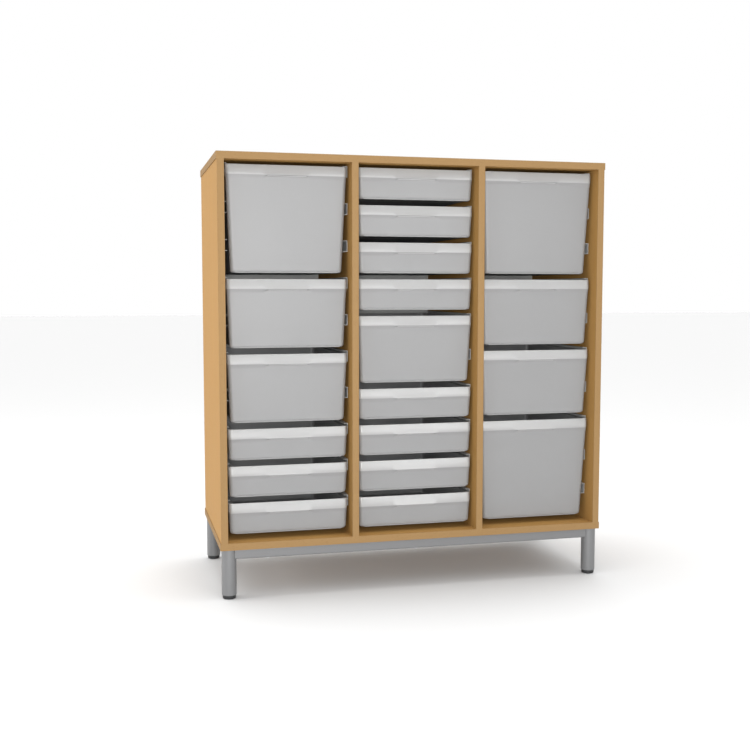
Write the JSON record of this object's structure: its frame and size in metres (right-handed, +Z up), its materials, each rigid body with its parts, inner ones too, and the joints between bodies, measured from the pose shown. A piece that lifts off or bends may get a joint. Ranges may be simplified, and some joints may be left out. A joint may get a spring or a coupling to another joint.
{
  "type": "classroom tray storage unit",
  "caption": "Free-standing wooden bay cabinet on a steel leg frame, with plastic storage trays of several depths sliding on side runners.",
  "frame": {"origin": "on the floor, under the middle of the unit", "axes": "+Z up, -Y out of the front, +X to the right as seen from the front"},
  "size_m": [1.045, 0.457, 1.129],
  "materials": {
    "beech_board": "satin beech-effect melamine",
    "beech_edging": "satin beech-effect edging",
    "back_laminate": "matt light grey melamine",
    "dowel_wood": "turned beech, unfinished",
    "runner_plastic": "satin translucent plastic",
    "tray_plastic": "semi-gloss light grey plastic",
    "powder_coat": "satin silver-grey powder coat",
    "foot_plastic": "matt black plastic",
    "screw_steel": "bright zinc"
  },
  "bodies": {
    "carcass": {"top_board": "beech_board", "base_board": "beech_board", "left_side_board": "beech_board", "right_side_board": "beech_board", "left_partition": "beech_board", "right_partition": "beech_board", "top_edging": "beech_edging", "base_edging": "beech_edging", "left_side_edging": "beech_edging", "right_side_edging": "beech_edging", "left_partition_edging": "beech_edging", "right_partition_edging": "beech_edging", "back_board": "back_laminate", "dowels": "dowel_wood", "back_screws": "screw_steel", "left_bay_left_runners": "runner_plastic", "left_bay_right_runners": "runner_plastic", "middle_bay_left_runners": "runner_plastic", "middle_bay_right_runners": "runner_plastic", "right_bay_left_runners": "runner_plastic", "right_bay_right_runners": "runner_plastic", "front_left_leg": "powder_coat", "front_right_leg": "powder_coat", "rear_left_leg": "powder_coat", "rear_right_leg": "powder_coat", "front_left_foot": "foot_plastic", "front_right_foot": "foot_plastic", "rear_left_foot": "foot_plastic", "rear_right_foot": "foot_plastic", "front_rail": "powder_coat", "rear_rail": "powder_coat", "left_rail": "powder_coat", "right_rail": "powder_coat", "frame_screws": "screw_steel"},
    "left_tray_1": {"left_extra_deep_tray_1": "tray_plastic"},
    "left_tray_2": {"left_deep_tray_2": "tray_plastic"},
    "left_tray_3": {"left_deep_tray_3": "tray_plastic"},
    "left_tray_4": {"left_shallow_tray_4": "tray_plastic"},
    "left_tray_5": {"left_shallow_tray_5": "tray_plastic"},
    "left_tray_6": {"left_shallow_tray_6": "tray_plastic"},
    "middle_tray_1": {"middle_shallow_tray_1": "tray_plastic"},
    "middle_tray_2": {"middle_shallow_tray_2": "tray_plastic"},
    "middle_tray_3": {"middle_shallow_tray_3": "tray_plastic"},
    "middle_tray_4": {"middle_shallow_tray_4": "tray_plastic"},
    "middle_tray_5": {"middle_deep_tray_5": "tray_plastic"},
    "middle_tray_6": {"middle_shallow_tray_6": "tray_plastic"},
    "middle_tray_7": {"middle_shallow_tray_7": "tray_plastic"},
    "middle_tray_8": {"middle_shallow_tray_8": "tray_plastic"},
    "middle_tray_9": {"middle_shallow_tray_9": "tray_plastic"},
    "right_tray_1": {"right_extra_deep_tray_1": "tray_plastic"},
    "right_tray_2": {"right_deep_tray_2": "tray_plastic"},
    "right_tray_3": {"right_deep_tray_3": "tray_plastic"},
    "right_tray_4": {"right_extra_deep_tray_4": "tray_plastic"}
  },
  "joints": [
    {"name": "left_tray_1_slide", "type": "slide", "parent": "carcass", "child": "left_tray_1", "axis": [0, -1, 0], "range_m": [0, 0.33]},
    {"name": "left_tray_2_slide", "type": "slide", "parent": "carcass", "child": "left_tray_2", "axis": [0, -1, 0], "range_m": [0, 0.33]},
    {"name": "left_tray_3_slide", "type": "slide", "parent": "carcass", "child": "left_tray_3", "axis": [0, -1, 0], "range_m": [0, 0.33]},
    {"name": "left_tray_4_slide", "type": "slide", "parent": "carcass", "child": "left_tray_4", "axis": [0, -1, 0], "range_m": [0, 0.33]},
    {"name": "left_tray_5_slide", "type": "slide", "parent": "carcass", "child": "left_tray_5", "axis": [0, -1, 0], "range_m": [0, 0.33]},
    {"name": "left_tray_6_slide", "type": "slide", "parent": "carcass", "child": "left_tray_6", "axis": [0, -1, 0], "range_m": [0, 0.33]},
    {"name": "middle_tray_1_slide", "type": "slide", "parent": "carcass", "child": "middle_tray_1", "axis": [0, -1, 0], "range_m": [0, 0.33]},
    {"name": "middle_tray_2_slide", "type": "slide", "parent": "carcass", "child": "middle_tray_2", "axis": [0, -1, 0], "range_m": [0, 0.33]},
    {"name": "middle_tray_3_slide", "type": "slide", "parent": "carcass", "child": "middle_tray_3", "axis": [0, -1, 0], "range_m": [0, 0.33]},
    {"name": "middle_tray_4_slide", "type": "slide", "parent": "carcass", "child": "middle_tray_4", "axis": [0, -1, 0], "range_m": [0, 0.33]},
    {"name": "middle_tray_5_slide", "type": "slide", "parent": "carcass", "child": "middle_tray_5", "axis": [0, -1, 0], "range_m": [0, 0.33]},
    {"name": "middle_tray_6_slide", "type": "slide", "parent": "carcass", "child": "middle_tray_6", "axis": [0, -1, 0], "range_m": [0, 0.33]},
    {"name": "middle_tray_7_slide", "type": "slide", "parent": "carcass", "child": "middle_tray_7", "axis": [0, -1, 0], "range_m": [0, 0.33]},
    {"name": "middle_tray_8_slide", "type": "slide", "parent": "carcass", "child": "middle_tray_8", "axis": [0, -1, 0], "range_m": [0, 0.33]},
    {"name": "middle_tray_9_slide", "type": "slide", "parent": "carcass", "child": "middle_tray_9", "axis": [0, -1, 0], "range_m": [0, 0.33]},
    {"name": "right_tray_1_slide", "type": "slide", "parent": "carcass", "child": "right_tray_1", "axis": [0, -1, 0], "range_m": [0, 0.33]},
    {"name": "right_tray_2_slide", "type": "slide", "parent": "carcass", "child": "right_tray_2", "axis": [0, -1, 0], "range_m": [0, 0.33]},
    {"name": "right_tray_3_slide", "type": "slide", "parent": "carcass", "child": "right_tray_3", "axis": [0, -1, 0], "range_m": [0, 0.33]},
    {"name": "right_tray_4_slide", "type": "slide", "parent": "carcass", "child": "right_tray_4", "axis": [0, -1, 0], "range_m": [0, 0.33]}
  ]
}
